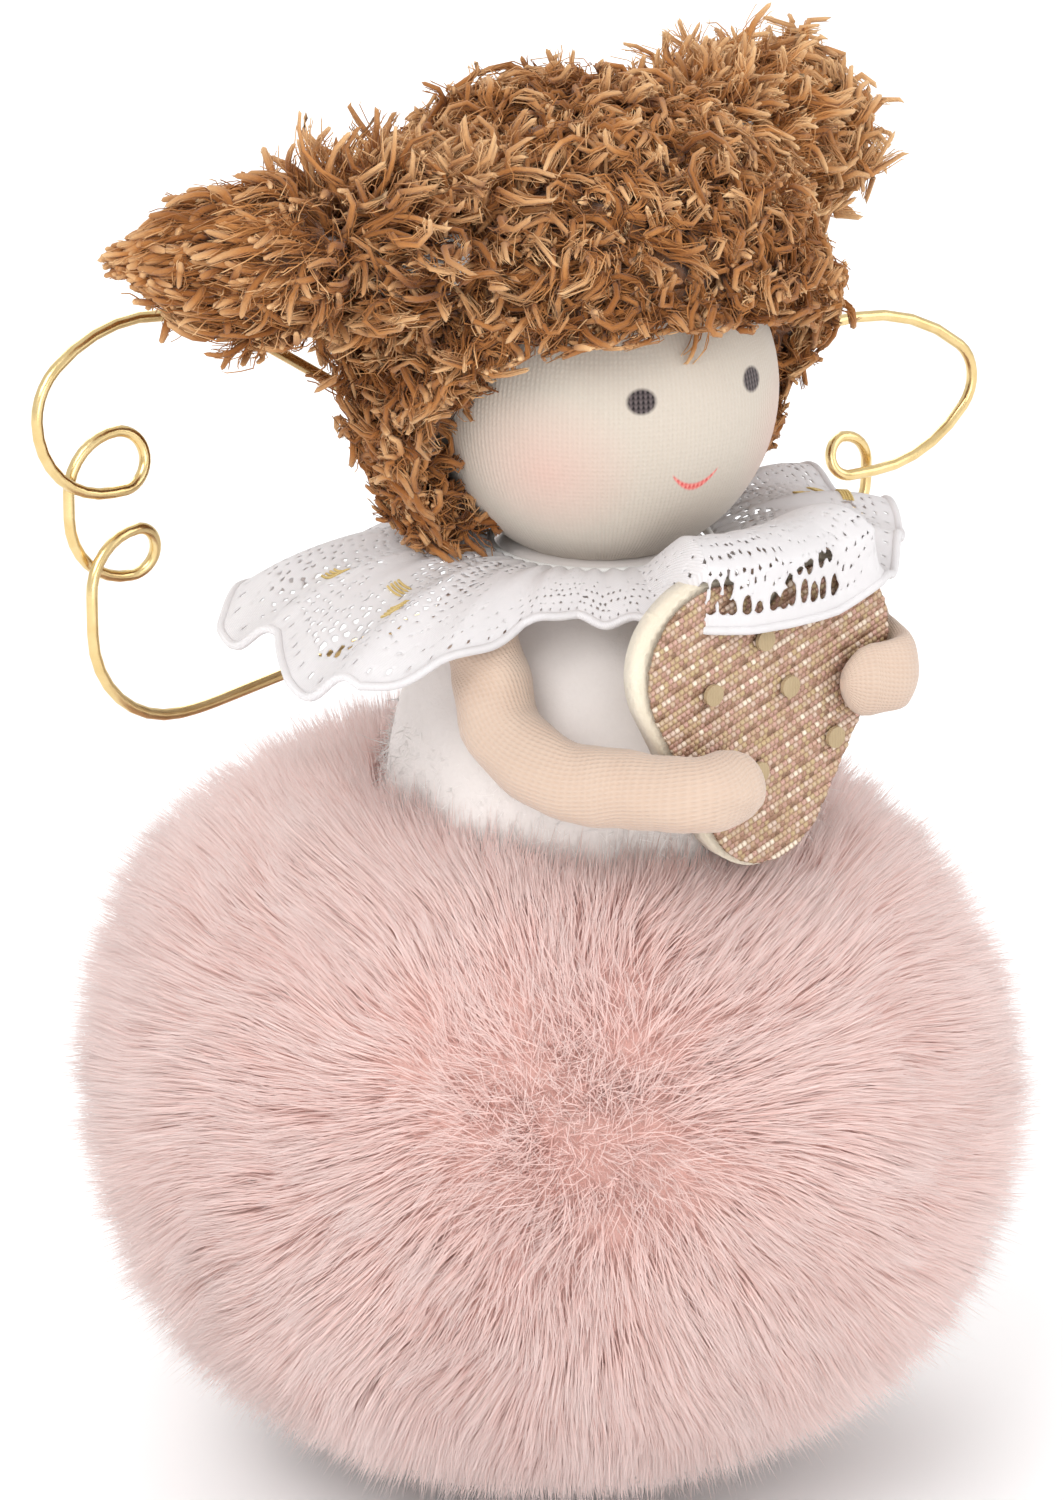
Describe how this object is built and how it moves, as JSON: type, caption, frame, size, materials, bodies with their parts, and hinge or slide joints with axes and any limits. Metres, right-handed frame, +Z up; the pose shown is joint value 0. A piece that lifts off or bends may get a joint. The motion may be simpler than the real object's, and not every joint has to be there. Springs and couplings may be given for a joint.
{
  "type": "fairy doll ornament",
  "caption": "Small soft fairy doll: a fur pompom skirt to stand on, felt bodice, knit head with yarn bunches, bent-wire wings, lace collar, and arms holding a glitter heart.",
  "frame": {"origin": "on the floor, below the neck axis, where the doll stands on its fur", "axes": "+Z up along the neck, -Y the way the doll faces, +X towards the doll's left"},
  "size_m": [0.1091, 0.09, 0.1355],
  "materials": {
    "pink_fur": "long soft pile, pale pink tips",
    "fur_backing": "knitted backing",
    "stuffing": "loose fibre",
    "stick_wood": "bare turned wood",
    "white_felt": "fuzzy felt",
    "white_lace": "gathered lace",
    "white_thread": "cotton thread",
    "head_ball": "moulded foam",
    "cream_knit": "fine ribbed knit",
    "caramel_yarn": "fluffy kinked yarn",
    "hair_band": "white elastic band",
    "gold_wire": "bright gold craft wire",
    "peach_knit": "fine ribbed knit",
    "cream_felt": "pressed felt",
    "rose_lurex": "ribbed glitter fabric",
    "gold_dot": "smooth stamped foil"
  },
  "bodies": {
    "torso": {"fur_skirt": "pink_fur", "skirt_backing": "fur_backing", "skirt_stuffing": "stuffing", "spine_dowel": "stick_wood", "bodice_cover": "white_felt", "bodice_stuffing": "stuffing", "lace_collar": "white_lace", "collar_thread": "white_thread", "wing_sleeve": "white_felt"},
    "head": {"head_core": "head_ball", "head_skin": "cream_knit", "hair_cap": "caramel_yarn", "right_hair_tie": "hair_band", "left_hair_tie": "hair_band"},
    "right_bunch": {"right_pigtail": "caramel_yarn"},
    "left_bunch": {"left_pigtail": "caramel_yarn"},
    "right_wing_wire": {"right_wing": "gold_wire"},
    "left_wing_wire": {"left_wing": "gold_wire"},
    "arms": {"right_arm": "peach_knit", "left_arm": "peach_knit", "shoulder_cord": "white_thread", "heart_backing": "cream_felt", "heart_front": "rose_lurex", "heart_dots": "gold_dot"}
  },
  "joints": [
    {"name": "head_turn", "type": "hinge", "parent": "torso", "child": "head", "pos_m": [0, 0, 0.107], "axis": [0, 0, 1], "range_deg": [-8, 8]},
    {"name": "right_bunch_flop", "type": "hinge", "parent": "head", "child": "right_bunch", "pos_m": [-0.02521, 0.00091, 0.12231], "axis": [-0.3256, -0.9455, 0], "range_deg": [-15, 15], "stiffness_Nm_per_rad": 0.02},
    {"name": "left_bunch_flop", "type": "hinge", "parent": "head", "child": "left_bunch", "pos_m": [0.02331, 0.00895, 0.12532], "axis": [-0.5299, 0.848, 0], "range_deg": [-15, 15], "stiffness_Nm_per_rad": 0.02},
    {"name": "right_wing_fold", "type": "hinge", "parent": "torso", "child": "right_wing_wire", "pos_m": [-0.001, 0.0175, 0.0875], "axis": [0, 0, -1], "range_deg": [0, 30]},
    {"name": "left_wing_fold", "type": "hinge", "parent": "torso", "child": "left_wing_wire", "pos_m": [0.005, 0.0175, 0.0875], "axis": [0, 0, 1], "range_deg": [0, 30]},
    {"name": "arms_lift", "type": "hinge", "parent": "torso", "child": "arms", "pos_m": [0, -0.003, 0.0885], "axis": [-1, 0, 0], "range_deg": [0, 12]}
  ]
}
